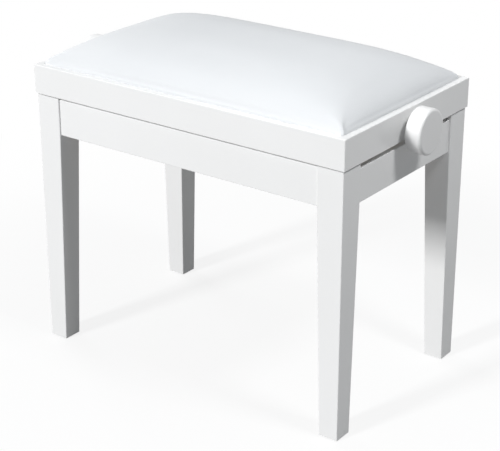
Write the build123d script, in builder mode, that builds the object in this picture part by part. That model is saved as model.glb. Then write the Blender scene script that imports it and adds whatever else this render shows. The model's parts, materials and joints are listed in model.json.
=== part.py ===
from build123d import *
import math
import os

os.makedirs("parts", exist_ok=True)

# Height-adjustable piano bench. X runs along the seat, the front faces -Y, +Z is up, and the
# origin is on the floor under the middle of the seat. Sizes are in millimetres, and the bench
# is drawn with its seat at the lowest setting.

# Seat frame: four mitred rails with a rabbet inside for the seat board
SEAT_LENGTH = 550.0
SEAT_DEPTH = 330.0
FRAME_TOP = 450.0
FRAME_HEIGHT = 44.0
RAIL_WIDTH = 22.0
RIM_WIDTH = 10.5
RABBET_DEPTH = 16.0
FRAME_CORNER_RADIUS = 1.6
RIM_RADIUS = 1.2
MITRE_MARGIN = 10.0
GLUE_BLOCK_LEG = 38.0
GLUE_BLOCK_HEIGHT = 24.0

# Legs, aprons and the blocks that join them
LEG_INSET = 2.5
LEG_HEAD_SIZE = 41.5
LEG_FOOT_SIZE = 31.0
LEG_EDGE_RADIUS = 1.5
LEG_GAP = 2.5
LEG_FLAT = 8.0
LEG_FLAT_BOTTOM = 350.0
APRON_BOTTOM = 346.0
APRON_THICKNESS = 18.0
APRON_EDGE_RADIUS = 1.0
LONG_APRON_GAP = 4.2
LONG_APRON_RECESS = 2.5
SHORT_APRON_GAP = 10.0
SHORT_APRON_RECESS = 3.0
BLOCK_THICKNESS = 22.0
BLOCK_BOTTOM = 352.0
BLOCK_TOP = 394.0
FOOT_PAD_THICKNESS = 1.5
FOOT_PAD_RADIUS = 11.0

# Hanger bolts that draw the legs into the corner blocks
BOLT_Z = 373.0
BOLT_RADIUS = 3.9
BOLT_HOLE_RADIUS = 4.1
BOLT_IN_LEG = 27.0
BOLT_TAIL = 5.0
WASHER_RADIUS = 9.0
WASHER_THICKNESS = 1.6
NUT_ACROSS_FLATS = 13.0
NUT_THICKNESS = 6.5

# Cushion: seat board, foam and cover
BOARD_THICKNESS = 10.0
COVER_THICKNESS = 1.2
COVER_GAP = 0.3
SIDE_HEIGHT = 3.0
CROWN = 43.0
CROWN_POWER = 4.2
CROWN_EASE = 0.62
CROWN_RUN_OUT = 0.997
DRAW_IN = 1.0
SHOULDER_WIDTH = 40.0
SHOULDER_RISE = 0.75
CROWN_STEPS = 6

# Scissor lift: pivot heights, arms, and the nut's travel along the spindle
ARM_LENGTH = 300.0
ARM_WIDTH = 18.0
ARM_THICKNESS = 4.0
LOW_PIVOT_Z = 372.0
SPINDLE_Z = 420.0
NUT_TRAVEL = 35.0
PIVOT_RADIUS = 5.0
RUNNING_CLEARANCE = 0.05
SLOT_CLEARANCE = 0.2
SLOT_END_ROOM = 1.0
STEEL_THICKNESS = 3.0
ARM_GAP = 1.0
SIDE_GAP = 0.3

# Distances of the lift's layers from the bench's middle plane, the same at front and rear
LIFT_ARM_OUTER = 132.0
ROD_SHOULDER_RADIUS = 7.0
SPACER_RADIUS = 8.0
PIN_HEAD_RADIUS = 8.0
PIN_HEAD_THICKNESS = 2.5
CLIP_THICKNESS = 1.0
CENTRE_ROD_END = 134.2

# Steel angle rails
LOWER_RAIL_HALF_LENGTH = 175.0
LOWER_RAIL_BOTTOM = 352.0
LOWER_RAIL_TOP = 390.0
LOWER_RAIL_FLANGE = 20.0
LOWER_SCREW_X = (60.0, 165.0)
LOWER_SCREW_Z = 383.0
UPPER_RAIL_HALF_LENGTH = 205.0
UPPER_RAIL_BOTTOM = 408.0
UPPER_RAIL_FLANGE = 29.0
UPPER_SCREW_X = (60.0, 190.0)
UPPER_SCREW_Z = 418.0
BOARD_SCREW_X = (75.0, 190.0)
BOARD_SCREW_Y = 119.0
RAIL_BEND_RADIUS = 2.0

# Pan-head wood screws
SCREW_HEAD_RADIUS = 4.0
SCREW_HEAD_HEIGHT = 2.4
SCREW_HEAD_BEVEL = 1.2
SCREW_SHANK_RADIUS = 1.9
SCREW_HOLE_RADIUS = 2.2
PILOT_RADIUS = 1.95
WOOD_SCREW_LENGTH = 15.0
BOARD_SCREW_LENGTH = 10.5

# Spindle, nut bar, thrust bar and knobs
SPINDLE_RADIUS = 6.0
THREAD_RADIUS = 7.0
THREAD_FROM = 95.0
THREAD_TO = 175.0
SPINDLE_END = 300.0
BAR_WIDTH = 22.0
BAR_HEIGHT = 18.0
BAR_EDGE = 1.5
NUT_BOSS_RADIUS = 12.0
NUT_BOSS_LENGTH = 28.0
COLLAR_RADIUS = 11.0
COLLAR_WIDTH = 8.0
BUSH_RADIUS = 9.0
BUSH_FLANGE_RADIUS = 13.0
BUSH_FLANGE_THICKNESS = 1.5
KNOB_RADIUS = 33.0
KNOB_THICKNESS = 24.6
KNOB_OFFSET = 9.5
KNOB_FACE_RADIUS = 4.5
KNOB_BACK_RADIUS = 2.5
KNOB_HUB_RADIUS = 14.0
HUB_GAP = 0.5
GRUB_RADIUS = 2.4
GRUB_HOLE_RADIUS = 2.5
GRUB_RECESS = 0.5

# Sizes that follow from the ones above
FRAME_X = SEAT_LENGTH / 2
FRAME_Y = SEAT_DEPTH / 2
FRAME_BOTTOM = FRAME_TOP - FRAME_HEIGHT
LEDGE_Z = FRAME_TOP - RABBET_DEPTH
BOARD_TOP = LEDGE_Z + BOARD_THICKNESS
RAIL_INNER_X = FRAME_X - RAIL_WIDTH
RAIL_INNER_Y = FRAME_Y - RAIL_WIDTH
COVER_X = FRAME_X - RIM_WIDTH - COVER_GAP
COVER_Y = FRAME_Y - RIM_WIDTH - COVER_GAP
FOAM_X = COVER_X - COVER_THICKNESS
FOAM_Y = COVER_Y - COVER_THICKNESS
LEG_X = FRAME_X - LEG_INSET
LEG_Y = FRAME_Y - LEG_INSET
LEG_TOP = FRAME_BOTTOM - LEG_GAP
LEG_INNER_X = LEG_X - LEG_HEAD_SIZE
LEG_INNER_Y = LEG_Y - LEG_HEAD_SIZE
APRON_OUTER_X = LEG_X - SHORT_APRON_RECESS
APRON_OUTER_Y = LEG_Y - LONG_APRON_RECESS
APRON_INNER_X = APRON_OUTER_X - APRON_THICKNESS
APRON_INNER_Y = APRON_OUTER_Y - APRON_THICKNESS
REST_ANGLE = math.asin((SPINDLE_Z - LOW_PIVOT_Z) / ARM_LENGTH)
HALF_SPAN = ARM_LENGTH * math.cos(REST_ANGLE) / 2
CENTRE_Z = (LOW_PIVOT_Z + SPINDLE_Z) / 2
PIVOT_HOLE_RADIUS = PIVOT_RADIUS + RUNNING_CLEARANCE
SLOT_HEIGHT = 2 * (PIVOT_RADIUS + SLOT_CLEARANCE)
SLOT_X = HALF_SPAN - NUT_TRAVEL / 2
LIFT_ARM_INNER = LIFT_ARM_OUTER - ARM_THICKNESS
CROSS_ARM_OUTER = LIFT_ARM_INNER - ARM_GAP
CROSS_ARM_INNER = CROSS_ARM_OUTER - ARM_THICKNESS
LOWER_WEB_INNER = APRON_INNER_Y - STEEL_THICKNESS
UPPER_WEB_INNER = RAIL_INNER_Y - STEEL_THICKNESS
KNOB_BACK = FRAME_X + KNOB_OFFSET
KNOB_FACE = KNOB_BACK + KNOB_THICKNESS
HUB_START = FRAME_X + BUSH_FLANGE_THICKNESS + HUB_GAP

STANDING = (Align.CENTER, Align.CENTER, Align.MIN)
HANGING = (Align.CENTER, Align.CENTER, Align.MAX)
SPINDLE_AXIS = Axis((0, 0, SPINDLE_Z), (1, 0, 0))
FRONT_REAR = (-1, 1)


def save(piece, name):
    """Labels one finished piece and writes it as a STEP file of its own."""
    piece.part.label = name
    export_step(piece.part, f"parts/{name}.step")


def save_mirrored(piece, name, plane):
    """Writes the mirror image of a piece under another name, and returns it."""
    with BuildPart() as image:
        mirror(piece.part, about=plane)
    save(image, name)
    return image


def save_four(piece, name):
    """Writes a front right piece and its images at the other three corners."""
    save(piece, f"{name}_front_right")
    save_mirrored(piece, f"{name}_front_left", Plane.YZ)
    rear_right = save_mirrored(piece, f"{name}_rear_right", Plane.XZ)
    save_mirrored(rear_right, f"{name}_rear_left", Plane.YZ)


def save_group_of_four(piece, name):
    """Writes a front right piece and its three images together, as one node."""
    with BuildPart() as group:
        add(piece.part)
        mirror(about=Plane.YZ)
        mirror(about=Plane.XZ)
    save(group, name)


def facing(x, y, z, out):
    """Place on a surface whose outward direction is out."""
    return Plane(origin=(x, y, z), z_dir=out).location


def wood_screws(places, length):
    """Pan-head screws, each with its head on the surface at one of the places."""
    with BuildPart() as screw:
        Cylinder(SCREW_HEAD_RADIUS, SCREW_HEAD_HEIGHT, align=STANDING)
        chamfer(screw.edges().sort_by(Axis.Z)[-1], SCREW_HEAD_BEVEL)
        Cylinder(SCREW_SHANK_RADIUS, length, align=HANGING)
    with BuildPart() as group:
        with Locations(*places):
            add(screw.part)
    return group


def rings(x, z, inner_y, outer_y, outer_radius, bore_radius):
    """A front and a rear ring around a lengthwise line, between two distances from the middle."""
    with BuildPart() as pair:
        for side in FRONT_REAR:
            with BuildSketch(Plane(origin=(x, side * inner_y, z), z_dir=(0, side, 0))):
                Circle(outer_radius)
                Circle(bore_radius, mode=Mode.SUBTRACT)
            extrude(amount=outer_y - inner_y)
    return pair


# Legs: square at the head, tapered on the two inner faces below the aprons
corner_out = Vector(1, -1, 0).normalized()
flat_centre = Vector(LEG_INNER_X + LEG_FLAT / 2, -LEG_INNER_Y - LEG_FLAT / 2, BOLT_Z)

with BuildPart() as leg:
    with BuildSketch(Plane.XY.offset(FOOT_PAD_THICKNESS)):
        with Locations((LEG_X - LEG_FOOT_SIZE / 2, LEG_FOOT_SIZE / 2 - LEG_Y)):
            RectangleRounded(LEG_FOOT_SIZE, LEG_FOOT_SIZE, LEG_EDGE_RADIUS)
    with BuildSketch(Plane.XY.offset(APRON_BOTTOM)):
        with Locations((LEG_X - LEG_HEAD_SIZE / 2, LEG_HEAD_SIZE / 2 - LEG_Y)):
            RectangleRounded(LEG_HEAD_SIZE, LEG_HEAD_SIZE, LEG_EDGE_RADIUS)
    loft()
    extrude(leg.faces().sort_by(Axis.Z)[-1], amount=LEG_TOP - APRON_BOTTOM)
    # Flat across the inner corner, where the corner block bears
    with BuildSketch(Plane.XY.offset(LEG_FLAT_BOTTOM)):
        with Locations((LEG_INNER_X, -LEG_INNER_Y)):
            Rectangle(LEG_FLAT * math.sqrt(2), LEG_FLAT * math.sqrt(2), rotation=45)
    extrude(amount=LEG_TOP - LEG_FLAT_BOTTOM, mode=Mode.SUBTRACT)
    with Locations(Plane(origin=flat_centre, z_dir=corner_out).location):
        Cylinder(BOLT_HOLE_RADIUS, BOLT_IN_LEG, align=STANDING, mode=Mode.SUBTRACT)
save_four(leg, "leg")

with BuildPart() as foot_pad:
    with Locations((LEG_X - LEG_FOOT_SIZE / 2, LEG_FOOT_SIZE / 2 - LEG_Y, 0)):
        Cylinder(FOOT_PAD_RADIUS, FOOT_PAD_THICKNESS, align=STANDING)
save_group_of_four(foot_pad, "foot_pads")

# Aprons between the legs
lower_screws = [
    facing(end * x, side * LOWER_WEB_INNER, LOWER_SCREW_Z, (0, -side, 0))
    for side in FRONT_REAR
    for end in (-1, 1)
    for x in LOWER_SCREW_X
]

with BuildPart() as long_apron:
    with BuildSketch(Plane.XY.offset(APRON_BOTTOM)):
        with Locations((0, -APRON_INNER_Y - APRON_THICKNESS / 2)):
            Rectangle(2 * LEG_INNER_X, APRON_THICKNESS)
    extrude(amount=FRAME_BOTTOM - LONG_APRON_GAP - APRON_BOTTOM)
    fillet(long_apron.edges().filter_by(Axis.X), APRON_EDGE_RADIUS)
    with Locations(*lower_screws):
        Hole(PILOT_RADIUS, depth=WOOD_SCREW_LENGTH)
save(long_apron, "apron_front")
save_mirrored(long_apron, "apron_rear", Plane.XZ)

with BuildPart() as short_apron:
    with BuildSketch(Plane.XY.offset(APRON_BOTTOM)):
        with Locations((APRON_INNER_X + APRON_THICKNESS / 2, 0)):
            Rectangle(APRON_THICKNESS, 2 * LEG_INNER_Y)
    extrude(amount=FRAME_BOTTOM - SHORT_APRON_GAP - APRON_BOTTOM)
    fillet(short_apron.edges().filter_by(Axis.Y), APRON_EDGE_RADIUS)
save(short_apron, "apron_right")
save_mirrored(short_apron, "apron_left", Plane.YZ)

# Corner blocks, each across the inside of a corner, with the leg's bolt through it
flat_line = LEG_INNER_X + LEG_INNER_Y + LEG_FLAT
inner_line = flat_line - BLOCK_THICKNESS * math.sqrt(2)

with BuildPart() as corner_block:
    with BuildSketch(Plane.XY.offset(BLOCK_BOTTOM)):
        with BuildLine():
            Polyline(
                (flat_line - APRON_INNER_Y, -APRON_INNER_Y),
                (APRON_INNER_X, APRON_INNER_X - flat_line),
                (APRON_INNER_X, APRON_INNER_X - inner_line),
                (inner_line - APRON_INNER_Y, -APRON_INNER_Y),
                close=True,
            )
        make_face()
    extrude(amount=BLOCK_TOP - BLOCK_BOTTOM)
    with Locations(Plane(origin=flat_centre, z_dir=corner_out).location):
        Hole(BOLT_HOLE_RADIUS, depth=BLOCK_THICKNESS)
save_four(corner_block, "corner_block")

block_inner = flat_centre - corner_out * BLOCK_THICKNESS
washer_inner = block_inner - corner_out * WASHER_THICKNESS
nut_inner = washer_inner - corner_out * NUT_THICKNESS

with BuildPart() as leg_bolt:
    with BuildSketch(Plane(origin=nut_inner - corner_out * BOLT_TAIL, z_dir=corner_out)):
        Circle(BOLT_RADIUS)
    extrude(amount=BOLT_TAIL + NUT_THICKNESS + WASHER_THICKNESS + BLOCK_THICKNESS + BOLT_IN_LEG)
save_group_of_four(leg_bolt, "leg_bolts")

with BuildPart() as leg_bolt_washer:
    with BuildSketch(Plane(origin=washer_inner, z_dir=corner_out)):
        Circle(WASHER_RADIUS)
        Circle(BOLT_HOLE_RADIUS, mode=Mode.SUBTRACT)
    extrude(amount=WASHER_THICKNESS)
save_group_of_four(leg_bolt_washer, "leg_bolt_washers")

with BuildPart() as leg_bolt_nut:
    with BuildSketch(Plane(origin=nut_inner, z_dir=corner_out)):
        RegularPolygon(NUT_ACROSS_FLATS / 2, side_count=6, major_radius=False)
        Circle(BOLT_HOLE_RADIUS, mode=Mode.SUBTRACT)
    extrude(amount=NUT_THICKNESS)
save_group_of_four(leg_bolt_nut, "leg_bolt_nuts")

# Lower rails: steel angles on the long aprons, with a pivot hole and a slot for the slider rod
with BuildPart() as lower_rail:
    with BuildSketch(Plane.YZ):
        with BuildLine():
            Polyline(
                (-APRON_INNER_Y, LOWER_RAIL_TOP),
                (-APRON_INNER_Y, LOWER_RAIL_BOTTOM),
                (LOWER_RAIL_FLANGE - APRON_INNER_Y, LOWER_RAIL_BOTTOM),
                (LOWER_RAIL_FLANGE - APRON_INNER_Y, LOWER_RAIL_BOTTOM + STEEL_THICKNESS),
                (-LOWER_WEB_INNER, LOWER_RAIL_BOTTOM + STEEL_THICKNESS),
                (-LOWER_WEB_INNER, LOWER_RAIL_TOP),
                close=True,
            )
        make_face()
    extrude(amount=LOWER_RAIL_HALF_LENGTH, both=True)
    inside_bend = lower_rail.edges().filter_by(Axis.X).sort_by_distance(
        (0, -LOWER_WEB_INNER, LOWER_RAIL_BOTTOM + STEEL_THICKNESS)
    )[0]
    fillet(inside_bend, RAIL_BEND_RADIUS)
    with BuildSketch(Plane.XZ.offset(APRON_INNER_Y)):
        with Locations((SLOT_X, LOW_PIVOT_Z)):
            SlotCenterToCenter(NUT_TRAVEL + 2 * SLOT_END_ROOM, SLOT_HEIGHT)
        with Locations((-HALF_SPAN, LOW_PIVOT_Z)):
            Circle(PIVOT_HOLE_RADIUS)
    extrude(amount=-STEEL_THICKNESS, mode=Mode.SUBTRACT)
    with Locations(*lower_screws):
        Hole(SCREW_HOLE_RADIUS, depth=STEEL_THICKNESS)
save(lower_rail, "lower_rail_front")
save_mirrored(lower_rail, "lower_rail_rear", Plane.XZ)
save(wood_screws(lower_screws, WOOD_SCREW_LENGTH), "lower_rail_screws")

pin_length = APRON_INNER_Y - LIFT_ARM_INNER + SIDE_GAP

with BuildPart() as lower_pivot_pins:
    for side in FRONT_REAR:
        apron_face = Plane(origin=(-HALF_SPAN, side * APRON_INNER_Y, LOW_PIVOT_Z), z_dir=(0, -side, 0))
        with BuildSketch(apron_face):
            Circle(PIVOT_RADIUS)
        extrude(amount=pin_length)
        with BuildSketch(apron_face.offset(pin_length)):
            Circle(PIN_HEAD_RADIUS)
        extrude(amount=PIN_HEAD_THICKNESS)
save(lower_pivot_pins, "lower_pivot_pins")
save(
    rings(
        -HALF_SPAN,
        LOW_PIVOT_Z,
        LIFT_ARM_OUTER + SIDE_GAP,
        LOWER_WEB_INNER,
        SPACER_RADIUS,
        PIVOT_HOLE_RADIUS,
    ),
    "lower_pivot_spacers",
)


def scissor_arm(inner_y, slope):
    """Flat steel arm at the rear, with round ends and three pivot holes, rising along X if slope is 1."""
    along = (math.cos(REST_ANGLE), 0, slope * math.sin(REST_ANGLE))
    with BuildPart() as arm:
        with BuildSketch(Plane(origin=(0, inner_y, CENTRE_Z), x_dir=along, z_dir=(0, 1, 0))):
            SlotCenterToCenter(ARM_LENGTH, ARM_WIDTH)
            with GridLocations(ARM_LENGTH / 2, 0, 3, 1):
                Circle(PIVOT_HOLE_RADIUS, mode=Mode.SUBTRACT)
        extrude(amount=ARM_THICKNESS)
    return arm


def stepped_rod(x, z, end_y):
    """Rod from front to rear, thick between the cross arms and turned down where it passes the arms."""
    with BuildPart() as rod:
        with BuildSketch(Plane.XZ):
            with Locations((x, z)):
                Circle(PIVOT_RADIUS)
        extrude(amount=end_y, both=True)
        with BuildSketch(Plane.XZ):
            with Locations((x, z)):
                Circle(ROD_SHOULDER_RADIUS)
        extrude(amount=CROSS_ARM_INNER - SIDE_GAP, both=True)
    return rod


# Lift arms, from the pivots on the lower rails up to the nut bar
lift_arm = scissor_arm(LIFT_ARM_INNER, 1)
save(lift_arm, "lift_arm_rear")
save_mirrored(lift_arm, "lift_arm_front", Plane.XZ)
save(stepped_rod(0, CENTRE_Z, CENTRE_ROD_END), "centre_rod")
clip_inner = LIFT_ARM_OUTER + SIDE_GAP
save(
    rings(0, CENTRE_Z, clip_inner, clip_inner + CLIP_THICKNESS, SPACER_RADIUS, PIVOT_RADIUS),
    "centre_rod_clips",
)

# Cross arms, from the thrust bar down to the slider rod in the lower rails' slots
cross_arm = scissor_arm(CROSS_ARM_INNER, -1)
save(cross_arm, "cross_arm_rear")
save_mirrored(cross_arm, "cross_arm_front", Plane.XZ)
save(stepped_rod(HALF_SPAN, LOW_PIVOT_Z, APRON_INNER_Y - 2 * SIDE_GAP), "slider_rod")
save(
    rings(
        HALF_SPAN,
        LOW_PIVOT_Z,
        CROSS_ARM_OUTER,
        LOWER_WEB_INNER - SIDE_GAP,
        SPACER_RADIUS,
        PIVOT_HOLE_RADIUS,
    ),
    "slider_spacers",
)


def cross_bar(x, shoulder_y, journal_y):
    """Square steel bar from front to rear, with a round journal at each end."""
    with BuildPart() as bar:
        with BuildSketch(Plane.XZ):
            with Locations((x, SPINDLE_Z)):
                RectangleRounded(BAR_WIDTH, BAR_HEIGHT, BAR_EDGE)
        extrude(amount=shoulder_y, both=True)
        with BuildSketch(Plane.XZ):
            with Locations((x, SPINDLE_Z)):
                Circle(PIVOT_RADIUS)
        extrude(amount=journal_y, both=True)
    return bar


# Nut bar: its boss is the spindle's nut, its journals carry the lift arms and run in the upper slots
with BuildPart() as nut_bar:
    add(cross_bar(HALF_SPAN, LIFT_ARM_INNER - SIDE_GAP, RAIL_INNER_Y - SIDE_GAP).part)
    with Locations((HALF_SPAN, 0, SPINDLE_Z)):
        Cylinder(NUT_BOSS_RADIUS, NUT_BOSS_LENGTH, rotation=(0, 90, 0))
        Cylinder(
            THREAD_RADIUS + RUNNING_CLEARANCE,
            NUT_BOSS_LENGTH,
            rotation=(0, 90, 0),
            mode=Mode.SUBTRACT,
        )
save(nut_bar, "nut_bar")
save(
    rings(
        HALF_SPAN,
        SPINDLE_Z,
        LIFT_ARM_OUTER + SIDE_GAP,
        UPPER_WEB_INNER - SIDE_GAP,
        SPACER_RADIUS,
        PIVOT_RADIUS,
    ),
    "nut_bar_spacers",
)

# Thrust bar: fixed in the upper rails, it holds the spindle endways and carries the cross arms
with BuildPart() as thrust_bar:
    add(cross_bar(-HALF_SPAN, CROSS_ARM_INNER - SIDE_GAP, RAIL_INNER_Y).part)
    with Locations((-HALF_SPAN, 0, SPINDLE_Z)):
        Cylinder(
            SPINDLE_RADIUS + RUNNING_CLEARANCE,
            BAR_WIDTH,
            rotation=(0, 90, 0),
            mode=Mode.SUBTRACT,
        )
save(thrust_bar, "thrust_bar")
save(
    rings(
        -HALF_SPAN,
        SPINDLE_Z,
        CROSS_ARM_OUTER + SIDE_GAP,
        UPPER_WEB_INNER,
        SPACER_RADIUS,
        PIVOT_RADIUS,
    ),
    "thrust_bar_spacers",
)

# Upper rails: steel angles under the seat board, screwed to the long seat rails and to the board
upper_screws = [
    facing(end * x, side * UPPER_WEB_INNER, UPPER_SCREW_Z, (0, -side, 0))
    for side in FRONT_REAR
    for end in (-1, 1)
    for x in UPPER_SCREW_X
]
flange_bottom = LEDGE_Z - STEEL_THICKNESS
board_screws = [
    facing(end * x, side * BOARD_SCREW_Y, flange_bottom, (0, 0, -1))
    for side in FRONT_REAR
    for end in (-1, 1)
    for x in BOARD_SCREW_X
]

with BuildPart() as upper_rail:
    with BuildSketch(Plane.YZ):
        with BuildLine():
            Polyline(
                (-RAIL_INNER_Y, UPPER_RAIL_BOTTOM),
                (-RAIL_INNER_Y, LEDGE_Z),
                (UPPER_RAIL_FLANGE - RAIL_INNER_Y, LEDGE_Z),
                (UPPER_RAIL_FLANGE - RAIL_INNER_Y, flange_bottom),
                (-UPPER_WEB_INNER, flange_bottom),
                (-UPPER_WEB_INNER, UPPER_RAIL_BOTTOM),
                close=True,
            )
        make_face()
    extrude(amount=UPPER_RAIL_HALF_LENGTH, both=True)
    inside_bend = upper_rail.edges().filter_by(Axis.X).sort_by_distance(
        (0, -UPPER_WEB_INNER, flange_bottom)
    )[0]
    fillet(inside_bend, RAIL_BEND_RADIUS)
    with BuildSketch(Plane.XZ.offset(RAIL_INNER_Y)):
        with Locations((SLOT_X, SPINDLE_Z)):
            SlotCenterToCenter(NUT_TRAVEL + 2 * SLOT_END_ROOM, SLOT_HEIGHT)
        with Locations((-HALF_SPAN, SPINDLE_Z)):
            Circle(PIVOT_RADIUS)
    extrude(amount=-STEEL_THICKNESS, mode=Mode.SUBTRACT)
    with Locations(*upper_screws, *board_screws):
        Hole(SCREW_HOLE_RADIUS, depth=STEEL_THICKNESS)
save(upper_rail, "upper_rail_front")
save_mirrored(upper_rail, "upper_rail_rear", Plane.XZ)
save(wood_screws(upper_screws, WOOD_SCREW_LENGTH), "upper_rail_screws")
save(wood_screws(board_screws, BOARD_SCREW_LENGTH), "board_screws")

# Seat rails: one rabbeted ring with softened edges, cut at the mitres
with BuildPart() as frame_ring:
    with BuildSketch(Plane.XY.offset(FRAME_BOTTOM)):
        RectangleRounded(SEAT_LENGTH, SEAT_DEPTH, FRAME_CORNER_RADIUS)
        Rectangle(2 * RAIL_INNER_X, 2 * RAIL_INNER_Y, mode=Mode.SUBTRACT)
    extrude(amount=FRAME_HEIGHT)
    with BuildSketch(Plane.XY.offset(LEDGE_Z)):
        Rectangle(SEAT_LENGTH - 2 * RIM_WIDTH, SEAT_DEPTH - 2 * RIM_WIDTH)
    extrude(amount=RABBET_DEPTH, mode=Mode.SUBTRACT)
    fillet(frame_ring.faces().sort_by(Axis.Z)[-1].outer_wire().edges(), RIM_RADIUS)
    with Locations(*upper_screws):
        Hole(PILOT_RADIUS, depth=WOOD_SCREW_LENGTH)
    with Locations((0, 0, SPINDLE_Z)):
        Cylinder(BUSH_RADIUS, SEAT_LENGTH, rotation=(0, 90, 0), mode=Mode.SUBTRACT)

mitre_out_x, mitre_out_y = FRAME_X + MITRE_MARGIN, FRAME_Y + MITRE_MARGIN
mitre_in_x, mitre_in_y = RAIL_INNER_X - MITRE_MARGIN, RAIL_INNER_Y - MITRE_MARGIN


def seat_rail(outline):
    """The part of the ring that lies inside one mitred outline."""
    with BuildPart() as rail:
        add(frame_ring.part)
        with BuildSketch(Plane.XY.offset(FRAME_BOTTOM)):
            with BuildLine():
                Polyline(*outline, close=True)
            make_face()
        extrude(amount=FRAME_HEIGHT, mode=Mode.INTERSECT)
    return rail


front_outline = (
    (-mitre_out_x, -mitre_out_y),
    (mitre_out_x, -mitre_out_y),
    (mitre_in_x, -mitre_in_y),
    (-mitre_in_x, -mitre_in_y),
)
right_outline = (
    (mitre_out_x, -mitre_out_y),
    (mitre_out_x, mitre_out_y),
    (mitre_in_x, mitre_in_y),
    (mitre_in_x, -mitre_in_y),
)
seat_rail_front = seat_rail(front_outline)
save(seat_rail_front, "seat_rail_front")
save_mirrored(seat_rail_front, "seat_rail_rear", Plane.XZ)
seat_rail_right = seat_rail(right_outline)
save(seat_rail_right, "seat_rail_right")
save_mirrored(seat_rail_right, "seat_rail_left", Plane.YZ)

# Glue blocks inside the mitred corners, under the board
with BuildPart() as glue_block:
    with BuildSketch(Plane.XY.offset(LEDGE_Z - GLUE_BLOCK_HEIGHT)):
        with BuildLine():
            Polyline(
                (RAIL_INNER_X, -RAIL_INNER_Y),
                (RAIL_INNER_X, GLUE_BLOCK_LEG - RAIL_INNER_Y),
                (RAIL_INNER_X - GLUE_BLOCK_LEG, -RAIL_INNER_Y),
                close=True,
            )
        make_face()
    extrude(amount=GLUE_BLOCK_HEIGHT)
save_four(glue_block, "glue_block")

# Seat board, which drops into the rabbet
with BuildPart() as seat_board:
    with BuildSketch(Plane.XY.offset(LEDGE_Z)):
        Rectangle(2 * FOAM_X, 2 * FOAM_Y)
    extrude(amount=BOARD_THICKNESS)
    with Locations(*board_screws):
        Hole(PILOT_RADIUS, depth=BOARD_SCREW_LENGTH)
save(seat_board, "seat_board")


def crowned_pad(half_length, half_depth, bottom, crown):
    """Cushion form: low sides drawn in between the corners, soft shoulders and a crowned top."""
    side_top = FRAME_TOP + SIDE_HEIGHT
    with BuildPart() as pad:
        for step in range(-CROWN_STEPS, CROWN_STEPS + 1):
            share = math.sin(math.pi / 2 * step / CROWN_STEPS)
            rise = crown * (1 - abs(CROWN_RUN_OUT * share) ** CROWN_POWER) ** CROWN_EASE
            edge = half_depth - DRAW_IN * (1 - share**2)
            shoulder = (edge - SHOULDER_WIDTH, side_top + SHOULDER_RISE * rise)
            with BuildSketch(Plane.YZ.offset(share * half_length)):
                with BuildLine():
                    Polyline(
                        (-edge, side_top),
                        (-half_depth, bottom),
                        (half_depth, bottom),
                        (edge, side_top),
                    )
                    top = ThreePointArc(
                        (-shoulder[0], shoulder[1]),
                        (0, side_top + rise),
                        shoulder,
                    )
                    TangentArc(top @ 1, (edge, side_top), tangent=top % 1)
                    TangentArc(top @ 0, (-edge, side_top), tangent=-(top % 0))
                make_face()
        loft()
    return pad


# Foam on the board, and the cover stretched over both
save(crowned_pad(FOAM_X, FOAM_Y, BOARD_TOP, CROWN - COVER_THICKNESS), "seat_foam")

with BuildPart() as seat_cover:
    add(crowned_pad(COVER_X, COVER_Y, LEDGE_Z, CROWN).part)
    add(crowned_pad(FOAM_X, FOAM_Y, BOARD_TOP, CROWN - COVER_THICKNESS).part, mode=Mode.SUBTRACT)
    with BuildSketch(Plane.XY.offset(LEDGE_Z)):
        Rectangle(2 * FOAM_X, 2 * FOAM_Y)
    extrude(amount=BOARD_THICKNESS, mode=Mode.SUBTRACT)
save(seat_cover, "seat_cover")

# Flanged bushings in the short rails
with BuildPart() as bushing:
    with BuildSketch(Plane.YZ.offset(RAIL_INNER_X)):
        with Locations((0, SPINDLE_Z)):
            Circle(BUSH_RADIUS)
    extrude(amount=RAIL_WIDTH)
    with BuildSketch(Plane.YZ.offset(FRAME_X)):
        with Locations((0, SPINDLE_Z)):
            Circle(BUSH_FLANGE_RADIUS)
    extrude(amount=BUSH_FLANGE_THICKNESS)
    with Locations((RAIL_INNER_X, 0, SPINDLE_Z)):
        Cylinder(
            SPINDLE_RADIUS + RUNNING_CLEARANCE,
            2 * (RAIL_WIDTH + BUSH_FLANGE_THICKNESS),
            rotation=(0, 90, 0),
            mode=Mode.SUBTRACT,
        )
save(bushing, "bushing_right")
save_mirrored(bushing, "bushing_left", Plane.YZ)

# Spindle, plain at both ends and threaded where the nut bar travels
with BuildPart() as spindle:
    with BuildSketch(Plane.XZ):
        with BuildLine():
            Polyline(
                (-SPINDLE_END, SPINDLE_Z),
                (-SPINDLE_END, SPINDLE_Z + SPINDLE_RADIUS),
                (THREAD_FROM, SPINDLE_Z + SPINDLE_RADIUS),
                (THREAD_FROM, SPINDLE_Z + THREAD_RADIUS),
                (THREAD_TO, SPINDLE_Z + THREAD_RADIUS),
                (THREAD_TO, SPINDLE_Z + SPINDLE_RADIUS),
                (SPINDLE_END, SPINDLE_Z + SPINDLE_RADIUS),
                (SPINDLE_END, SPINDLE_Z),
                close=True,
            )
        make_face()
    revolve(axis=SPINDLE_AXIS)
save(spindle, "spindle")

with BuildPart() as thrust_collars:
    for end in (-1, 1):
        collar_x = -HALF_SPAN + end * (BAR_WIDTH / 2 + SIDE_GAP)
        with BuildSketch(Plane(origin=(collar_x, 0, SPINDLE_Z), z_dir=(end, 0, 0))):
            Circle(COLLAR_RADIUS)
            Circle(SPINDLE_RADIUS, mode=Mode.SUBTRACT)
        extrude(amount=COLLAR_WIDTH)
save(thrust_collars, "thrust_collars")

# Knobs: a thick disc with a rounded face edge and a hub that is pinned to the spindle
grub_x = (HUB_START + KNOB_BACK) / 2

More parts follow.
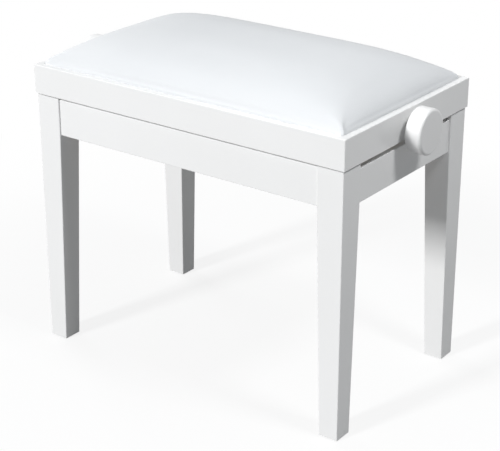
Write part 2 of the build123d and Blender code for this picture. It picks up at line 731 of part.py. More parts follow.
with BuildPart() as knob:
    with BuildSketch(Plane.XZ):
        with BuildLine():
            Polyline(
                (HUB_START, SPINDLE_Z + SPINDLE_RADIUS),
                (HUB_START, SPINDLE_Z + KNOB_HUB_RADIUS),
                (KNOB_BACK, SPINDLE_Z + KNOB_HUB_RADIUS),
                (KNOB_BACK, SPINDLE_Z + KNOB_RADIUS),
                (KNOB_FACE, SPINDLE_Z + KNOB_RADIUS),
                (KNOB_FACE, SPINDLE_Z),
                (SPINDLE_END, SPINDLE_Z),
                (SPINDLE_END, SPINDLE_Z + SPINDLE_RADIUS),
                close=True,
            )
        make_face()
    revolve(axis=SPINDLE_AXIS)
    rim_edges = knob.edges().filter_by(GeomType.CIRCLE).sort_by(SortBy.RADIUS)[-2:].sort_by(Axis.X)
    fillet(rim_edges[-1], KNOB_FACE_RADIUS)
    rim_edges = knob.edges().filter_by(GeomType.CIRCLE).sort_by(SortBy.RADIUS)[-2:].sort_by(Axis.X)
    fillet(rim_edges[0], KNOB_BACK_RADIUS)
    with Locations((grub_x, 0, SPINDLE_Z)):
        Cylinder(GRUB_HOLE_RADIUS, KNOB_HUB_RADIUS, align=HANGING, mode=Mode.SUBTRACT)
save(knob, "knob_right")
save_mirrored(knob, "knob_left", Plane.YZ)

with BuildPart() as knob_screws:
    with Locations((grub_x, 0, SPINDLE_Z - SPINDLE_RADIUS)):
        Cylinder(GRUB_RADIUS, KNOB_HUB_RADIUS - SPINDLE_RADIUS - GRUB_RECESS, align=HANGING)
    mirror(about=Plane.YZ)
save(knob_screws, "knob_screws")
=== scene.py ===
import json
import math
from collections import namedtuple

import bmesh
import bpy
import numpy as np
from mathutils import Matrix, Vector


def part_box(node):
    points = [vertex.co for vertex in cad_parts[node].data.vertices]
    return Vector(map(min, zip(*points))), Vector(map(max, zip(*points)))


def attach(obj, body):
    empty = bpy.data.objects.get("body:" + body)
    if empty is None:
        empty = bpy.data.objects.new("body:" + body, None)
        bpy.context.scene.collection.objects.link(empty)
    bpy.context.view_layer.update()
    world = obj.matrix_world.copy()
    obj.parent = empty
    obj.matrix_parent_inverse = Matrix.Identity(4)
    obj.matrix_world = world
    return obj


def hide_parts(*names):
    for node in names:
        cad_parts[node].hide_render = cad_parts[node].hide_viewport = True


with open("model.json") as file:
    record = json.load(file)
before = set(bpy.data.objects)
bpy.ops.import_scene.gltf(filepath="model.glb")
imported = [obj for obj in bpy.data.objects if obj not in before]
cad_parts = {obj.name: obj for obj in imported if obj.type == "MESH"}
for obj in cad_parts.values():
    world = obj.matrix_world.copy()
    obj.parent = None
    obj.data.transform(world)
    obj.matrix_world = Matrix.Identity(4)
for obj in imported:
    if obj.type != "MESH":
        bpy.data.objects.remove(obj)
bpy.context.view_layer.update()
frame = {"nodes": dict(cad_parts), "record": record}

# White adjustable piano bench. Lengths are in metres, in the frame of the solids: X runs along the
# seat, the front faces -Y and Z is up.

# Camera: the picture's size in pixels, and the view that lines up with the bench's edges
PICTURE_WIDTH, PICTURE_HEIGHT = 500, 451
SENSOR_WIDTH_MM = 36.0
FOCAL_PIXELS = 1431.79
OPTICAL_CENTRE = (277.16, 196.81)
VIEW_AZIMUTH, VIEW_ELEVATION, VIEW_ROLL = 35.407, 22.330, 0.415
VIEW_TARGET = Vector((0.05176, 0.0, 0.2629))
VIEW_DISTANCE = 2.1404

# Colours, from the darkest to the lightest patch of each finish
COLOURS = {
    "white_lacquer": ((0.845, 0.845, 0.842), (0.87, 0.87, 0.87)),
    "knob": ((0.805, 0.805, 0.802), (0.825, 0.825, 0.825)),
    "bare_wood": ((0.46, 0.29, 0.165), (0.66, 0.47, 0.31)),
    "plywood": ((0.60, 0.45, 0.28), (0.76, 0.61, 0.42)),
    "cover": ((0.685, 0.70, 0.717), (0.708, 0.722, 0.737)),
    "felt": ((0.58, 0.57, 0.54), (0.74, 0.73, 0.70)),
    "nylon": ((0.78, 0.78, 0.745), (0.83, 0.83, 0.80)),
    "zinc_steel": ((0.56, 0.575, 0.59), (0.68, 0.685, 0.69)),
    "bright_steel": ((0.50, 0.50, 0.51), (0.62, 0.62, 0.63)),
}

# Darkening of the flecks in beech, and where in their pattern they begin and end
FLECK_TINT, FULL_TINT = (0.62, 0.55, 0.5), (1.0, 1.0, 1.0)
FLECK_FROM, FLECK_TO = 0.32, 0.42

# Roughness, from the shiniest to the dullest patch of each finish
ROUGHNESS = {
    "white_lacquer": (0.16, 0.24),
    "knob": (0.30, 0.38),
    "bare_wood": (0.5, 0.68),
    "plywood": (0.52, 0.7),
    "cover": (0.5, 0.62),
    "nylon": (0.38, 0.5),
    "zinc_steel": (0.26, 0.46),
    "bright_steel": (0.18, 0.34),
}
FELT_ROUGHNESS = 0.95
COVER_SPECULAR = 0.35

# Scale of the patterns along X, Y and Z: small where a pattern runs long
EVEN = (1.0, 1.0, 1.0)
ALONG_X, ALONG_Y, ALONG_Z = (0.03, 1.0, 1.0), (1.0, 0.03, 1.0), (1.0, 1.0, 0.03)
BEECH_GRAIN = (1.0, 0.06, 0.5)
BEECH_TURN = math.radians(45)
PLYWOOD_GRAIN = (0.05, 1.0, 1.0)
ZINC_SCRATCHES = (0.04, 1.0, 1.0)
TOOL_MARKS = (1.0, 0.03, 0.03)

# Cushion: low side that leans in, crown above it, and how square the crown is along X and along Y
SIDE_HEIGHT = 0.0060
SIDE_LEAN = 0.0020
SIDE_BULGE = 0.0012
SIDE_RINGS = (0.66, 0.33, 0.0)
CROWN = 0.0445
CROWN_POWER_X, CROWN_POWER_Y = 4.05, 2.8
CROWN_EASE_X, CROWN_EASE_Y = 0.63, 0.52
CORNER_RADIUS = 0.005
TUCK_DEPTH = 0.012
RIM_OVERLAP = 0.0006
CUSHION_COLUMNS, CUSHION_ROWS = 100, 60
EDGE_CROWDING = 0.75

# Swelling of the cover as cloth: how far a point may move, the cloth's settings, and the share of the
# side, from the rim up, that is held with the hidden edge
SWELL_CAP = 0.002
SWELL_PRESSURE = 4.0
SWELL_SHRINK = 0.004
SWELL_STIFFNESS = 40.0
SWELL_BENDING = 25.0
SWELL_QUALITY = 6
SWELL_FRAMES = 20
HELD_SHARE = 0.25
SMALLEST_MOVE = 1e-9

# Spindle: its plain radius, and the stretch, pitch and radii of its thread
SPINDLE_RADIUS = 0.006
THREAD_FROM, THREAD_TO = 0.095, 0.175
THREAD_PITCH = 0.005
THREAD_ROOT, THREAD_CREST = 0.0054, 0.00695
THREAD_FLAT, THREAD_SLOPE = 0.34, 0.16
THREAD_STEPS = 12
SPINDLE_SEGMENTS = 40
SHARP_ANGLE = math.radians(35)

# Pan-head screws with a cross recess, and how close points of the solids are when they are the same
SCREW_HEAD_RADIUS, SCREW_HEAD_HEIGHT, SCREW_HEAD_BEVEL = 0.004, 0.0024, 0.0012
SCREW_SHANK_RADIUS = 0.0019
SCREW_POINT, SCREW_TIP_SHARE = 0.003, 0.15
SCREW_SEGMENTS = 32
CROSS_REACH, CROSS_WIDTH, CROSS_DEPTH, CROSS_TAPER = 0.0021, 0.0011, 0.0015, 0.6
QUARTER_TURNS = ((1, 0), (0, 1), (-1, 0), (0, -1))
AXIS_Y, AXIS_Z = 1, 2
SAME_POINT, SAME_PLACE_DIGITS = 0.00001, 4

# Stage: the floor as light sees it and as the camera sees it, and how far its shadow reaches
FLOOR_SIZE = 8.0
FLOOR_COLOUR = (0.25, 0.25, 0.25, 1.0)
FLOOR_ROUGHNESS = 0.9
FLOOR_SHOWN = (0.90, 0.90, 0.90, 1.0)
SHADOW_SHARE = 0.16
SHADOW_NEAR, SHADOW_FAR = 0.35, 1.1
WHITE = (1.0, 1.0, 1.0, 1.0)
WORLD_COLOUR = (0.86, 0.94, 1.0, 1.0)
WORLD_LIGHT = 0.16

# Lamps: place, target, width and height, and power in watts
LAMPS = {
    "front_soft_box": ((-1.8, -6.95, 3.86), (0, 0, 0.35), (1.0, 1.8), 560),
    "top_soft_box": ((-0.3, 0.5, 2.6), (0, 0, 0.4), (1.6, 1.6), 5),
    "left_soft_box": ((-3.0, 0.9, 1.1), (0, 0, 0.35), (1.2, 1.2), 34),
    "right_lamp": ((1.15, -0.1, 1.73), (0.27, 0, 0.4), (0.3, 0.3), 14),
}

# One layer of bumps: the pattern of its heights, its strength and its depth
Layer = namedtuple("Layer", "height strength depth")


def material(name):
    """A new node material, with its node tree and its Principled shader."""
    made = bpy.data.materials.new(name)
    made.use_nodes = True
    tree = made.node_tree
    return made, tree, tree.nodes["Principled BSDF"]


def add_node(tree, kind, **values):
    """A shader node with the named sockets set to the given values."""
    node = tree.nodes.new(kind)
    for socket, value in values.items():
        node.inputs[socket.replace("_", " ")].default_value = value
    return node


def place(tree, stretch=EVEN, turn=0.0):
    """Position on the piece, turned about Z and stretched along each axis."""
    position = tree.nodes.new("ShaderNodeTexCoord")
    mapping = add_node(tree, "ShaderNodeMapping", Scale=stretch, Rotation=(0.0, 0.0, turn))
    tree.links.new(position.outputs["Object"], mapping.inputs["Vector"])
    return mapping.outputs["Vector"]


def noise(tree, scale, detail=2.0, stretch=EVEN, turn=0.0):
    """Noise value over the piece."""
    pattern = add_node(tree, "ShaderNodeTexNoise", Scale=scale, Detail=detail)
    tree.links.new(place(tree, stretch, turn), pattern.inputs["Vector"])
    return pattern.outputs["Fac"]


def cells(tree, scale):
    """Distance from the middle of the cell, in a pattern of cells over the piece."""
    pattern = add_node(tree, "ShaderNodeTexVoronoi", Scale=scale)
    tree.links.new(place(tree), pattern.inputs["Vector"])
    return pattern.outputs["Distance"]


def ramp(tree, source, low, high, start=0.3, end=0.7):
    """Colour that runs from low to high as the source rises."""
    node = tree.nodes.new("ShaderNodeValToRGB")
    node.color_ramp.elements[0].position = start
    node.color_ramp.elements[1].position = end
    node.color_ramp.elements[0].color = (*low, 1.0)
    node.color_ramp.elements[1].color = (*high, 1.0)
    tree.links.new(source, node.inputs["Fac"])
    return node.outputs["Color"]


def set_colour(tree, shader, slot, pattern):
    """Base colour of a slot, which varies with the pattern."""
    tree.links.new(ramp(tree, pattern, *COLOURS[slot]), shader.inputs["Base Color"])


def set_roughness(tree, shader, slot, pattern):
    """Roughness of a slot, which varies with the pattern."""
    low, high = ROUGHNESS[slot]
    node = add_node(tree, "ShaderNodeMapRange", To_Min=low, To_Max=high)
    tree.links.new(pattern, node.inputs["Value"])
    tree.links.new(node.outputs["Result"], shader.inputs["Roughness"])


def relief(tree, shader, *layers):
    """Bumps on the surface, one layer over the other."""
    normal = None
    for layer in layers:
        node = add_node(tree, "ShaderNodeBump", Strength=layer.strength, Distance=layer.depth)
        tree.links.new(layer.height, node.inputs["Height"])
        if normal:
            tree.links.new(normal, node.inputs["Normal"])
        normal = node.outputs["Normal"]
    tree.links.new(normal, shader.inputs["Normal"])


def lacquer(name, slot, grain):
    """White lacquer sprayed on wood: faint orange peel, with the grain just showing through."""
    made, tree, shader = material(name)
    set_colour(tree, shader, slot, noise(tree, scale=5.0))
    set_roughness(tree, shader, slot, noise(tree, scale=16.0, detail=3.0))
    relief(
        tree,
        shader,
        Layer(noise(tree, scale=260.0, detail=3.0, stretch=grain), strength=0.05, depth=0.0002),
        Layer(noise(tree, scale=420.0, detail=1.0), strength=0.05, depth=0.0002),
    )
    return made


def beech(name, turn):
    """Planed beech: pinkish tan with fine dark flecks along the grain."""
    made, tree, shader = material(name)
    figure = noise(tree, scale=90.0, detail=5.0, stretch=BEECH_GRAIN, turn=turn)
    flecks = noise(tree, scale=900.0, stretch=BEECH_GRAIN, turn=turn)
    darken = tree.nodes.new("ShaderNodeMix")
    darken.data_type = "RGBA"
    darken.blend_type = "MULTIPLY"
    darken.inputs["Factor"].default_value = 1.0
    tree.links.new(ramp(tree, figure, *COLOURS["bare_wood"]), darken.inputs["A"])
    tint = ramp(tree, flecks, FLECK_TINT, FULL_TINT, FLECK_FROM, FLECK_TO)
    tree.links.new(tint, darken.inputs["B"])
    tree.links.new(darken.outputs["Result"], shader.inputs["Base Color"])
    set_roughness(tree, shader, "bare_wood", noise(tree, scale=40.0))
    relief(tree, shader, Layer(flecks, strength=0.25, depth=0.0003))
    return made


def birch_plywood():
    """Sanded birch ply: pale face veneer with the grain along the seat."""
    made, tree, shader = material("plywood")
    set_colour(tree, shader, "plywood", noise(tree, scale=60.0, detail=4.0, stretch=PLYWOOD_GRAIN))
    set_roughness(tree, shader, "plywood", noise(tree, scale=30.0))
    relief(tree, shader, Layer(noise(tree, scale=700.0, stretch=PLYWOOD_GRAIN), strength=0.2, depth=0.0003))
    return made


def leatherette():
    """Matt white cover with a fine pebble grain."""
    made, tree, shader = material("cover")
    set_colour(tree, shader, "cover", noise(tree, scale=8.0, detail=3.0))
    set_roughness(tree, shader, "cover", noise(tree, scale=30.0, detail=3.0))
    shader.inputs["Specular IOR Level"].default_value = COVER_SPECULAR
    relief(
        tree,
        shader,
        Layer(cells(tree, scale=700.0), strength=0.4, depth=0.0003),
        Layer(noise(tree, scale=2200.0), strength=0.12, depth=0.0001),
    )
    return made


def felt():
    """Pressed wool felt."""
    made, tree, shader = material("felt")
    fibres = noise(tree, scale=1800.0, detail=4.0)
    set_colour(tree, shader, "felt", fibres)
    shader.inputs["Roughness"].default_value = FELT_ROUGHNESS
    relief(tree, shader, Layer(fibres, strength=0.6, depth=0.0005))
    return made


def nylon():
    """Moulded natural nylon."""
    made, tree, shader = material("nylon")
    set_colour(tree, shader, "nylon", noise(tree, scale=90.0))
    set_roughness(tree, shader, "nylon", noise(tree, scale=200.0))
    relief(tree, shader, Layer(noise(tree, scale=1500.0), strength=0.1, depth=0.0001))
    return made


def zinc_plate():
    """Zinc-plated steel: bluish grey, clouded, with fine scratches along the part."""
    made, tree, shader = material("zinc_steel")
    shader.inputs["Metallic"].default_value = 1.0
    set_colour(tree, shader, "zinc_steel", noise(tree, scale=120.0, detail=4.0))
    set_roughness(tree, shader, "zinc_steel", noise(tree, scale=260.0, detail=4.0))
    scratches = noise(tree, scale=900.0, detail=3.0, stretch=ZINC_SCRATCHES)
    relief(tree, shader, Layer(scratches, strength=0.12, depth=0.0001))
    return made


def bright_steel():
    """Machined steel, lightly oiled, with tool marks across the part."""
    made, tree, shader = material("bright_steel")
    shader.inputs["Metallic"].default_value = 1.0
    set_colour(tree, shader, "bright_steel", noise(tree, scale=80.0, detail=3.0))
    set_roughness(tree, shader, "bright_steel", noise(tree, scale=150.0, detail=3.0))
    relief(tree, shader, Layer(noise(tree, scale=1600.0, stretch=TOOL_MARKS), strength=0.15, depth=0.0001))
    return made


lacquers = {
    "upright": lacquer("lacquer_upright", "white_lacquer", ALONG_Z),
    "long": lacquer("lacquer_long", "white_lacquer", ALONG_X),
    "short": lacquer("lacquer_short", "white_lacquer", ALONG_Y),
}
woods = {
    "rising": beech("beech_rising", BEECH_TURN),
    "falling": beech("beech_falling", -BEECH_TURN),
}
finishes = {
    "knob": lacquer("knob_lacquer", "knob", ALONG_X),
    "plywood": birch_plywood(),
    "cover": leatherette(),
    "felt": felt(),
    "nylon": nylon(),
    "zinc_steel": zinc_plate(),
    "bright_steel": bright_steel(),
}


def finish_of(node, slot):
    """The material for one node, with its grain along the piece. The foam is hidden in its cover."""
    if slot == "white_lacquer":
        if node.startswith("leg"):
            return lacquers["upright"]
        return lacquers["long" if node.endswith(("front", "rear")) else "short"]
    if slot == "bare_wood":
        return woods["rising" if node.endswith(("front_right", "rear_left")) else "falling"]
    return finishes["cover" if slot == "foam" else slot]


for subpart in frame["record"]["subparts"]:
    surfaces = frame["nodes"][subpart["node"]].data.materials
    surfaces.clear()
    surfaces.append(finish_of(subpart["node"], subpart["material_slot"]))


def new_mesh(name, points, faces):
    """Mesh with the given points, and faces given by the points' numbers."""
    mesh = bpy.data.meshes.new(name)
    mesh.from_pydata(np.asarray(points).tolist(), [], [tuple(int(v) for v in face) for face in faces])
    return mesh


def add_object(name, data):
    """A new object in the scene."""
    made = bpy.data.objects.new(name, data)
    bpy.context.scene.collection.objects.link(made)
    return made


def add_piece(name, mesh, body, slot, *nodes):
    """A piece that rides on a body, takes its finish from a slot and stands for the given nodes."""
    piece = add_object(name, mesh)
    mesh.materials.append(finishes[slot])
    mesh.shade_smooth()
    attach(piece, body)
    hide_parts(*nodes)
    return piece


def ring_faces(rings):
    """Faces that join each ring of points to the next ring."""
    faces = []
    for near, far in zip(rings, rings[1:]):
        for k in range(len(near)):
            after = (k + 1) % len(near)
            faces.append((near[after], near[k], far[k], far[after]))
    return faces


def round_corners(x, y, half_x, half_y):
    """Points of a square-cornered plan, moved onto a plan with round corners."""
    inner_x = np.clip(x, CORNER_RADIUS - half_x, half_x - CORNER_RADIUS)
    inner_y = np.clip(y, CORNER_RADIUS - half_y, half_y - CORNER_RADIUS)
    out_x, out_y = x - inner_x, y - inner_y
    reach = np.maximum(np.abs(out_x), np.abs(out_y))
    length = np.hypot(out_x, out_y)
    pull = np.divide(reach, length, out=np.ones_like(length), where=length > 0)
    return inner_x + out_x * pull, inner_y + out_y * pull


def crowded(count):
    """Steps from -1 to 1 that lie closer together towards both ends."""
    even = np.linspace(-1, 1, count + 1)
    return even + EDGE_CROWDING * np.sin(math.pi * even) / math.pi


def cushion_shape(half_x, half_y, rim):
    """Closed cushion: crowned top, low sides that lean in and tuck in behind the rim, and a flat underside.
    Gives its points, its faces, and the points that stay put when the cover swells."""
    across, down = np.meshgrid(crowded(CUSHION_COLUMNS), crowded(CUSHION_ROWS), indexing="ij")
    top_x, top_y = half_x - SIDE_LEAN, half_y - SIDE_LEAN
    x, y = round_corners(across * top_x, down * top_y, top_x, top_y)
    along_x = (1 - np.abs(across) ** CROWN_POWER_X) ** CROWN_EASE_X
    along_y = (1 - np.abs(down) ** CROWN_POWER_Y) ** CROWN_EASE_Y
    top = np.stack([x, y, rim + SIDE_HEIGHT + CROWN * along_x * along_y], -1).reshape(-1, 3)
    bottom = np.stack([x, y, np.full_like(x, rim - TUCK_DEPTH)], -1).reshape(-1, 3)
    points = [top, bottom]
    index = np.arange(x.size).reshape(x.shape)
    under = index + x.size
    loop = np.concatenate([index[:, 0], index[-1, 1:], index[-2::-1, -1], index[0, -2:0:-1]])
    rings = [loop]
    levels = [rim + SIDE_HEIGHT * share for share in SIDE_RINGS] + [rim - TUCK_DEPTH / 2]
    for level in levels:
        rings.append(sum(len(p) for p in points) + np.arange(len(loop)))
        share = min(max((level - rim) / SIDE_HEIGHT, 0.0), 1.0)
        out = SIDE_LEAN * (1 - share) + SIDE_BULGE * math.sin(math.pi * share)
        grow = 1 + out / np.array([top_x, top_y])
        points.append(np.column_stack([top[loop, :2] * grow, np.full(len(loop), level)]))
    rings.append(under.reshape(-1)[loop])
    faces = []
    for i in range(CUSHION_COLUMNS):
        for j in range(CUSHION_ROWS):
            faces.append((index[i, j], index[i + 1, j], index[i + 1, j + 1], index[i, j + 1]))
            faces.append((under[i, j], under[i, j + 1], under[i + 1, j + 1], under[i + 1, j]))
    faces += ring_faces(rings)
    points = np.concatenate(points)
    held = np.flatnonzero(points[:, 2] < rim + SIDE_HEIGHT * HELD_SHARE)
    return points, faces, held


def swollen(points, faces, held):
    """Blows the slack cover up as cloth, with its hidden edge held, and gives the settled points."""
    mesh = new_mesh("slack_cover", points, faces)
    start = np.array([v.co for v in mesh.vertices])
    slack = add_object("slack_cover", mesh)
    group = slack.vertex_groups.new(name="held")
    group.add([int(v) for v in held], 1.0, "REPLACE")
    cloth = slack.modifiers.new("swell", "CLOTH")
    cloth.settings.quality = SWELL_QUALITY
    cloth.settings.use_pressure = True
    cloth.settings.uniform_pressure_force = SWELL_PRESSURE
    cloth.settings.shrink_min = SWELL_SHRINK
    cloth.settings.tension_stiffness = SWELL_STIFFNESS
    cloth.settings.bending_stiffness = SWELL_BENDING
    cloth.settings.vertex_group_mass = "held"
    cloth.settings.effector_weights.gravity = 0.0
    cloth.point_cache.frame_end = SWELL_FRAMES
    scene = bpy.context.scene
    for number in range(1, SWELL_FRAMES + 1):
        scene.frame_set(number)
    settled = slack.evaluated_get(bpy.context.evaluated_depsgraph_get())
    move = np.array([v.co for v in settled.data.vertices]) - start
    scene.frame_set(1)
    bpy.data.objects.remove(slack)
    bpy.data.meshes.remove(mesh)
    length = np.linalg.norm(move, axis=1, keepdims=True)
    move *= SWELL_CAP * np.tanh(length / SWELL_CAP) / np.maximum(length, SMALLEST_MOVE)
    return start + move


def add_cushion():
    """Padded seat: the cover over its foam, as high as the crown."""
    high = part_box("seat_cover")[1]
    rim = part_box("seat_rail_front")[1][2]
    points, faces, held = cushion_shape(high[0] + RIM_OVERLAP, high[1] + RIM_OVERLAP, rim)
    points = swollen(points, faces, held)
    over = points[:, 2] > rim + SIDE_HEIGHT
    stretch = CROWN / (points[:, 2].max() - rim - SIDE_HEIGHT)
    points[over, 2] = rim + SIDE_HEIGHT + (points[over, 2] - rim - SIDE_HEIGHT) * stretch
    mesh = new_mesh("cushion", points, faces)
    cushion = add_piece("seat_cushion", mesh, "seat", "cover", "seat_cover", "seat_foam")
    smooth = cushion.modifiers.new("smooth", "SUBSURF")
    smooth.levels = smooth.render_levels = 1


def thread_radius(x, turn):
    """Radius of the thread at a distance along the spindle and a share of a turn about it."""
    phase = np.abs((x / THREAD_PITCH - turn) % 1.0 - 0.5)
    height = np.clip((THREAD_FLAT / 2 + THREAD_SLOPE - phase) / THREAD_SLOPE, 0.0, 1.0)
    lead_in = SPINDLE_RADIUS + min(x - THREAD_FROM, THREAD_TO - x)
    return np.minimum(THREAD_ROOT + (THREAD_CREST - THREAD_ROOT) * height, lead_in)


def add_spindle():
    """Spindle, plain at both ends and threaded where the nut bar travels."""
    low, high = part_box("spindle")
    axis_y, axis_z = (low[1] + high[1]) / 2, (low[2] + high[2]) / 2
    turn = np.arange(SPINDLE_SEGMENTS) / SPINDLE_SEGMENTS
    angle = 2 * math.pi * turn
    plain = np.full(SPINDLE_SEGMENTS, SPINDLE_RADIUS)
    steps = round((THREAD_TO - THREAD_FROM) / THREAD_PITCH * THREAD_STEPS)
    stations = [(low[0], plain), (THREAD_FROM, plain)]
    for x in np.linspace(THREAD_FROM, THREAD_TO, steps + 1)[1:-1]:
        stations.append((x, thread_radius(x, turn)))
    stations += [(THREAD_TO, plain), (high[0], plain)]
    points = [
        (x, axis_y + r * math.cos(a), axis_z + r * math.sin(a))
        for x, radius in stations
        for r, a in zip(radius, angle)
    ]
    rings = np.arange(len(points)).reshape(len(stations), SPINDLE_SEGMENTS).tolist()
    mesh = new_mesh("spindle", points, [rings[0][::-1], *ring_faces(rings[::-1]), rings[-1]])
    add_piece("threaded_spindle", mesh, "spindle", "bright_steel", "spindle")
    mesh.set_sharp_from_angle(angle=SHARP_ANGLE)


def cross_outline(share, height):
    """The twelve corners of a cross recess at one height, as a share of its full size."""
    reach, half = CROSS_REACH * share, CROSS_WIDTH / 2 * share
    arm = [(half, half), (half, reach), (-half, reach)]
    return [(x * c - y * s, x * s + y * c, height) for c, s in QUARTER_TURNS for x, y in arm]


def screw_shape(length):
    """Points and faces of one screw, its head standing on Z = 0 and its shank hanging below."""
    profile = [
        (SCREW_SHANK_RADIUS * SCREW_TIP_SHARE, -length),
        (SCREW_SHANK_RADIUS, SCREW_POINT - length),
        (SCREW_SHANK_RADIUS, 0.0),
        (SCREW_HEAD_RADIUS, 0.0),
        (SCREW_HEAD_RADIUS, SCREW_HEAD_HEIGHT - SCREW_HEAD_BEVEL),
        (SCREW_HEAD_RADIUS - SCREW_HEAD_BEVEL, SCREW_HEAD_HEIGHT),
    ]
    angles = [2 * math.pi * k / SCREW_SEGMENTS for k in range(SCREW_SEGMENTS)]
    build = bmesh.new()
    rings = [
        [build.verts.new((radius * math.cos(a), radius * math.sin(a), height)) for a in angles]
        for radius, height in profile
    ]
    mouth, floor = (
        [build.verts.new(corner) for corner in cross_outline(share, height)]
        for share, height in ((1.0, SCREW_HEAD_HEIGHT), (CROSS_TAPER, SCREW_HEAD_HEIGHT - CROSS_DEPTH))
    )
    for face in [rings[0], *ring_faces(rings), *ring_faces([mouth, floor]), floor]:
        build.faces.new(face)
    edges = [
        build.edges.get((loop[k - 1], loop[k]))
        for loop in (rings[-1], mouth)
        for k in range(len(loop))
    ]
    bmesh.ops.triangle_fill(build, edges=edges, use_beauty=True)
    bmesh.ops.recalc_face_normals(build, faces=build.faces)
    build.verts.index_update()
    points = np.array([v.co for v in build.verts])
    faces = [[v.index for v in face.verts] for face in build.faces]
    build.free()
    return points, faces


def islands(mesh):
    """Boxes of the separate bodies in a mesh, as their lowest and highest corners."""
    build = bmesh.new()
    build.from_mesh(mesh)
    bmesh.ops.remove_doubles(build, verts=build.verts, dist=SAME_POINT)
    left = set(build.verts)
    boxes = []
    while left:
        stack, found = [left.pop()], []
        while stack:
            vert = stack.pop()
            found.append(vert.co.copy())
            for edge in vert.link_edges:
                other = edge.other_vert(vert)
                if other in left:
                    left.remove(other)
                    stack.append(other)
        corners = np.array(found)
        boxes.append((corners.min(axis=0), corners.max(axis=0)))
    build.free()
    return sorted(boxes, key=lambda box: tuple(box[0].round(SAME_PLACE_DIGITS)))


def add_screws(node, body, axis):
    """The screws of one node along an axis, their heads towards the middle of the bench, or down along Z."""
    points, faces = [], []
    for low, high in islands(frame["nodes"][node].data):
        outward = np.zeros(3)
        outward[axis] = -1.0 if axis == AXIS_Z or low[axis] > 0 else 1.0
        shape, shape_faces = screw_shape(high[axis] - low[axis] - SCREW_HEAD_HEIGHT)
        seat = (low + high) / 2
        seat[axis] = (high if outward[axis] > 0 else low)[axis] - outward[axis] * SCREW_HEAD_HEIGHT
        turn = np.array(Vector(outward).to_track_quat("Z", "X").to_matrix())
        start = sum(len(p) for p in points)
        points.append(shape @ turn.T + seat)
        faces += [[start + v for v in face] for face in shape_faces]
    mesh = new_mesh(node, np.concatenate(points), faces)
    add_piece("dressed_" + node, mesh, body, "zinc_steel", node)
    mesh.set_sharp_from_angle(angle=SHARP_ANGLE)


def add_camera():
    """Camera at the picture's viewing angle."""
    azimuth, elevation, roll = (math.radians(a) for a in (VIEW_AZIMUTH, VIEW_ELEVATION, VIEW_ROLL))
    flat = math.cos(elevation)
    back = Vector((math.sin(azimuth) * flat, -math.cos(azimuth) * flat, math.sin(elevation)))
    level = Vector((math.cos(azimuth), math.sin(azimuth), 0.0))
    right = math.cos(roll) * level + math.sin(roll) * back.cross(level)
    up = back.cross(right)
    lens = bpy.data.cameras.new("camera")
    lens.sensor_fit = "HORIZONTAL"
    lens.sensor_width = SENSOR_WIDTH_MM
    lens.lens = FOCAL_PIXELS / PICTURE_WIDTH * SENSOR_WIDTH_MM
    lens.shift_x = (PICTURE_WIDTH / 2 - OPTICAL_CENTRE[0]) / PICTURE_WIDTH
    lens.shift_y = (OPTICAL_CENTRE[1] - PICTURE_HEIGHT / 2) / PICTURE_WIDTH
    camera = add_object("camera", lens)
    turn = Matrix((right, up, back)).transposed().to_4x4()
    camera.matrix_world = Matrix.Translation(VIEW_TARGET + back * VIEW_DISTANCE) @ turn
    bpy.context.scene.camera = camera


def add_lamp(name, spot, target, size, watts):
    """Rectangular soft box that faces its target."""
    lamp = bpy.data.lights.new(name, "AREA")
    lamp.shape = "RECTANGLE"
    lamp.size, lamp.size_y = size
    lamp.energy = watts
    light = add_object(name, lamp)
    light.location = spot
    light.rotation_mode = "QUATERNION"
    light.rotation_quaternion = (Vector(target) - Vector(spot)).to_track_quat("-Z", "Y")


def larger(tree, first, second):
    """The larger of two numbers."""
    node = tree.nodes.new("ShaderNodeMath")
    node.operation = "MAXIMUM"
    tree.links.new(first, node.inputs[0])
    tree.links.new(second, node.inputs[1])
    return node.outputs["Value"]


def mix(tree, factor, first, second):
    """Shader that goes from the first to the second as the factor goes from 0 to 1."""
    node = tree.nodes.new("ShaderNodeMixShader")
    tree.links.new(factor, node.inputs["Fac"])
    tree.links.new(first, node.inputs[1])
    tree.links.new(second, node.inputs[2])
    return node.outputs["Shader"]


def background_rays(tree):
    """1 for rays that show the background: straight to the camera, mirrored or seen through glass."""
    rays = tree.nodes.new("ShaderNodeLightPath").outputs
    seen = larger(tree, rays["Is Camera Ray"], rays["Is Glossy Ray"])
    return larger(tree, seen, rays["Is Transmission Ray"])


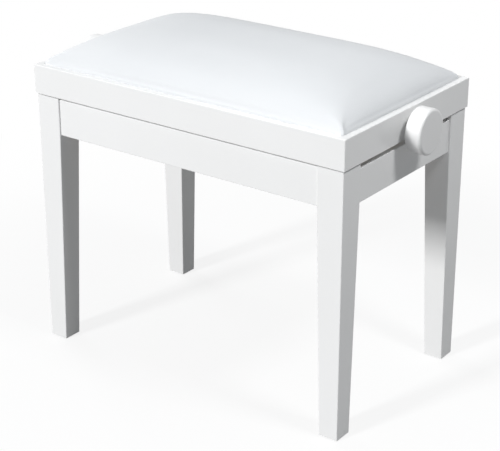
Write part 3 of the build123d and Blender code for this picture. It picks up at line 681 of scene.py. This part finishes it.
def floor_finish():
    """Pale floor that looks white as a background, and shows the bench's shadow near the bench."""
    made, tree, shader = material("floor")
    shader.inputs["Base Color"].default_value = FLOOR_COLOUR
    shader.inputs["Roughness"].default_value = FLOOR_ROUGHNESS
    pale = add_node(tree, "ShaderNodeBsdfDiffuse", Color=FLOOR_SHOWN)
    white = add_node(tree, "ShaderNodeEmission", Strength=1.0)
    distance = tree.nodes.new("ShaderNodeVectorMath")
    distance.operation = "LENGTH"
    tree.links.new(place(tree), distance.inputs[0])
    whiteness = add_node(
        tree,
        "ShaderNodeMapRange",
        From_Min=SHADOW_NEAR,
        From_Max=SHADOW_FAR,
        To_Min=1.0 - SHADOW_SHARE,
        To_Max=1.0,
    )
    whiteness.interpolation_type = "SMOOTHSTEP"
    tree.links.new(distance.outputs["Value"], whiteness.inputs["Value"])
    shown = mix(tree, whiteness.outputs["Result"], pale.outputs["BSDF"], white.outputs["Emission"])
    seen = mix(tree, background_rays(tree), shader.outputs["BSDF"], shown)
    tree.links.new(seen, tree.nodes["Material Output"].inputs["Surface"])
    return made


def add_floor():
    """Flat floor under the bench."""
    half = FLOOR_SIZE / 2
    corners = [(-half, -half, 0), (half, -half, 0), (half, half, 0), (-half, half, 0)]
    floor = add_object("floor", new_mesh("floor", corners, [(0, 1, 2, 3)]))
    floor.data.materials.append(floor_finish())


def add_world():
    """Even surroundings: white as a background, softer and slightly blue as light."""
    world = bpy.data.worlds.new("surroundings")
    world.use_nodes = True
    tree = world.node_tree
    light = tree.nodes["Background"]
    light.inputs["Color"].default_value = WORLD_COLOUR
    light.inputs["Strength"].default_value = WORLD_LIGHT
    white = add_node(tree, "ShaderNodeBackground", Color=WHITE, Strength=1.0)
    seen = mix(tree, background_rays(tree), light.outputs["Background"], white.outputs["Background"])
    tree.links.new(seen, tree.nodes["World Output"].inputs["Surface"])
    bpy.context.scene.world = world


add_cushion()
add_spindle()
add_screws("lower_rail_screws", "base", AXIS_Y)
add_screws("upper_rail_screws", "seat", AXIS_Y)
add_screws("board_screws", "seat", AXIS_Z)
add_camera()
add_floor()
add_world()
for lamp_name, lamp_values in LAMPS.items():
    add_lamp(lamp_name, *lamp_values)

bpy.context.scene.view_settings.view_transform = "Standard"
